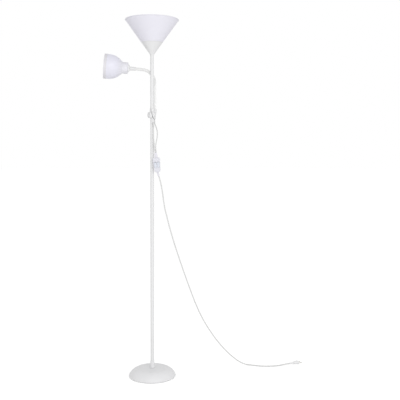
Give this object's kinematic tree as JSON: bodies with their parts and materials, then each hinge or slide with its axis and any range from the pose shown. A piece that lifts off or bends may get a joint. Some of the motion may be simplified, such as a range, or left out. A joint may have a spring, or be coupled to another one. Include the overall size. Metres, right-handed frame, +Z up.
{
  "type": "torchiere floor lamp",
  "caption": "White floor lamp: domed weighted base, screwed tube pole, open cone uplighter, clamped gooseneck reading arm with a bell shade, in-line rocker switch and mains cord.",
  "frame": {"origin": "centre of the base's underside, on the pole's axis", "axes": "+Z up along the pole; -Y is the front, where the clamp's slit and the switch face; the reading shade points to -X"},
  "size_m": [1.029, 0.3481, 1.7801],
  "materials": {
    "white_enamel": "semi-gloss white powder coat",
    "white_plastic": "glossy white moulded plastic",
    "opal_plastic": "milky translucent white plastic, smooth",
    "cast_weight": "rough cast iron",
    "zinc_steel": "zinc-plated steel",
    "brass": "bare brass",
    "white_cord": "smooth white vinyl sheath",
    "base_pad": "soft foam pad",
    "gooseneck": "white painted flexible metal tube",
    "bulb_glass": "frosted white glass",
    "pin_metal": "nickel-plated brass"
  },
  "bodies": {
    "stand": {"base_cover": "white_enamel", "base_pad": "base_pad", "base_weight": "cast_weight", "base_washer": "zinc_steel", "base_nut": "zinc_steel", "base_stud": "zinc_steel", "foot_stub": "white_enamel", "pole_section_1": "white_enamel", "pole_section_2": "white_enamel", "pole_section_3": "white_enamel", "pole_section_4": "white_enamel", "upper_pole": "white_enamel", "coupling_1": "zinc_steel", "coupling_2": "zinc_steel", "coupling_3": "zinc_steel", "coupling_4": "zinc_steel", "coupling_5": "zinc_steel", "top_nipple": "zinc_steel", "pole_outlet": "white_plastic", "pole_lead": "white_cord", "cup_locknut": "zinc_steel", "shade_cup": "white_enamel", "uplighter_shade": "opal_plastic", "uplighter_holder": "white_plastic", "uplighter_shade_ring": "white_plastic", "uplighter_contact": "brass", "uplighter_bulb_cap": "zinc_steel", "uplighter_bulb_glass": "bulb_glass", "pole_cable": "white_cord", "arm_cable": "white_cord", "supply_cord": "white_cord", "switch_housing": "white_plastic", "switch_cover": "white_plastic", "switch_screws": "zinc_steel", "switch_top_relief": "white_plastic", "switch_low_relief": "white_plastic", "plug_body": "white_plastic", "plug_pins": "pin_metal"},
    "arm": {"clamp_body": "white_plastic", "clamp_nut": "zinc_steel", "arm_relief": "white_plastic", "neck_lower": "gooseneck", "neck_bend": "gooseneck"},
    "neck": {"neck_stub": "gooseneck", "neck_flex": "gooseneck"},
    "head": {"neck_upper": "gooseneck", "head_ferrule": "white_enamel", "holder_cap": "white_plastic", "reading_holder": "white_plastic", "reading_shade": "opal_plastic", "reading_shade_ring": "white_plastic", "reading_bulb_cap": "zinc_steel", "reading_bulb_glass": "bulb_glass"},
    "knob": {"clamp_knob": "white_plastic", "clamp_screw": "zinc_steel"},
    "rocker_left": {"rocker_left": "white_plastic"},
    "rocker_right": {"rocker_right": "white_plastic"}
  },
  "joints": [
    {"name": "arm_swivel", "type": "hinge", "parent": "stand", "child": "arm", "pos_m": [0, 0, 1.3185], "axis": [0, 0, 1], "range_deg": [-60, 60], "deforming": ["arm_cable"]},
    {"name": "neck_bend", "type": "hinge", "parent": "arm", "child": "neck", "pos_m": [-0.01202, 0.01665, 1.5134], "axis": [-0.0785, 0.9969, 0], "range_deg": [-60, 35], "deforming": ["neck_bend"]},
    {"name": "head_turn", "type": "hinge", "parent": "neck", "child": "head", "pos_m": [-0.06627, 0.01238, 1.53829], "axis": [0.0817, 0.0064, 0.9966], "range_deg": [-40, 40], "deforming": ["neck_flex"]},
    {"name": "clamp_knob_turn", "type": "hinge", "parent": "arm", "child": "knob", "pos_m": [-0.016, -0.0165, 1.3105], "axis": [1, 0, 0], "range_deg": [0, 360]},
    {"name": "rocker_left_tilt", "type": "hinge", "parent": "stand", "child": "rocker_left", "pos_m": [0.01824, -0.0265, 1.06377], "axis": [0.9945, 0, 0.1045], "range_deg": [-12, 0]},
    {"name": "rocker_right_tilt", "type": "hinge", "parent": "stand", "child": "rocker_right", "pos_m": [0.03216, -0.0265, 1.06523], "axis": [0.9945, 0, 0.1045], "range_deg": [-12, 0]}
  ]
}
